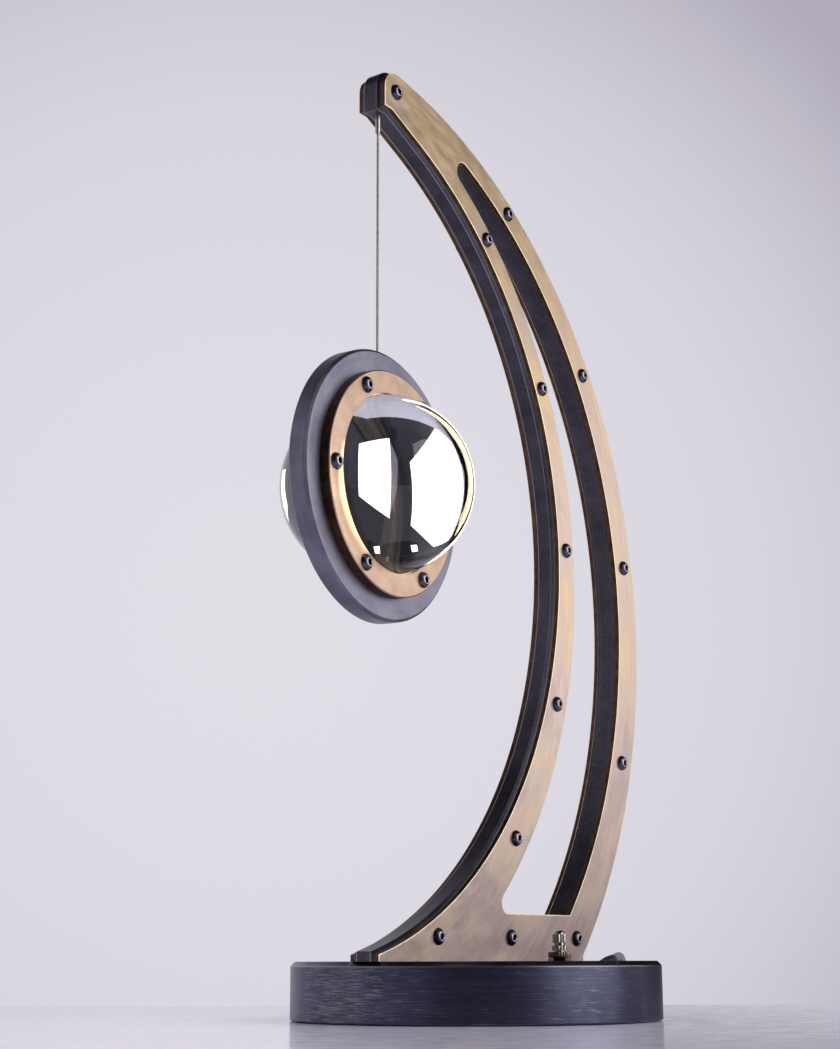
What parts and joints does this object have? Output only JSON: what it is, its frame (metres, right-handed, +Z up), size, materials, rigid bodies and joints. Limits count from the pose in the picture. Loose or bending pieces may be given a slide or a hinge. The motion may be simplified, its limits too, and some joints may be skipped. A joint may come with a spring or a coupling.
{
  "type": "table lamp",
  "caption": "Table lamp with a round base, a tall bowed arm with brass side plates and a double-sided glass disc lamp hanging from a thin wire rope; a knurled knob dims it.",
  "frame": {"origin": "centre of the base's underside, where it rests on the table", "axes": "+Z up; the arm bows in the XZ plane with its head over -X and its bulge towards +X; the front, with the knob, faces -Y"},
  "size_m": [0.3635, 0.2346, 0.5436],
  "materials": {
    "blackened_steel": "turned and blackened, fine horizontal scratches, satin",
    "plain_steel": "bare sheet steel",
    "felt": "pressed felt",
    "arm_steel": "blackened, satin, rubbed edges",
    "aged_brass": "brushed, unevenly patinated, bright edges",
    "black_screw": "black oxide, satin",
    "lead_sheath": "matte",
    "ferrule_metal": "satin",
    "stainless": "twisted stranded wire",
    "housing_steel": "dark bronzed, fine turned satin",
    "bronze_ring": "brushed, darkly patinated, bright edges",
    "clear_glass": "polished",
    "rubber": "matte",
    "reflector_mirror": "polished",
    "led_strip": "light diodes on a flexible strip",
    "nickel_brass": "old nickel plate, knurled",
    "white_plastic": "moulded",
    "black_plastic": "moulded, satin",
    "braid": "woven textile braid"
  },
  "bodies": {
    "root": {"base_disc": "blackened_steel", "base_cover": "plain_steel", "base_pad": "felt", "cover_screws": "plain_steel", "arm_core": "arm_steel", "front_plate": "aged_brass", "back_plate": "aged_brass", "front_plate_screws": "black_screw", "back_plate_screws": "black_screw", "arm_bolts": "black_screw", "arm_lead": "lead_sheath", "ferrule": "ferrule_metal", "dimmer_body": "plain_steel", "dimmer_bush": "nickel_brass", "hex_nut": "nickel_brass", "dress_nut": "nickel_brass", "led_driver": "white_plastic", "driver_clamps": "plain_steel", "terminal_block": "white_plastic", "inner_leads": "lead_sheath", "strain_relief": "rubber", "mains_cord": "braid", "cord_coil": "braid", "cord_tail": "braid", "plug_body": "black_plastic", "plug_pins": "nickel_brass"},
    "swing_ball": {"rope_ball": "stainless"},
    "rope": {"wire_rope": "stainless", "rope_stop": "stainless"},
    "pendant": {"disc_housing": "housing_steel", "front_ring": "bronze_ring", "rear_ring": "bronze_ring", "front_dome": "clear_glass", "rear_dome": "clear_glass", "front_gasket": "rubber", "rear_gasket": "rubber", "reflector": "reflector_mirror", "led_ring": "led_strip", "front_ring_screws": "black_screw", "rear_ring_screws": "black_screw", "pendant_lead": "lead_sheath"},
    "knob": {"dimmer_shaft": "nickel_brass", "dimmer_knob": "nickel_brass"}
  },
  "joints": [
    {"name": "swing_across", "type": "hinge", "parent": "root", "child": "swing_ball", "pos_m": [-0.0941, 0, 0.5046], "axis": [1, 0, 0], "range_deg": [-25, 25]},
    {"name": "swing_along", "type": "hinge", "parent": "swing_ball", "child": "rope", "pos_m": [-0.0941, 0, 0.5046], "axis": [0, 1, 0], "range_deg": [-20, 30]},
    {"name": "pendant_turn", "type": "hinge", "parent": "rope", "child": "pendant", "pos_m": [-0.0941, 0, 0.36], "axis": [0, 0, 1], "range_deg": [-90, 90]},
    {"name": "dimmer_turn", "type": "hinge", "parent": "root", "child": "knob", "pos_m": [0, -0.056, 0.038], "axis": [0, 0, 1], "range_deg": [-150, 150]}
  ]
}
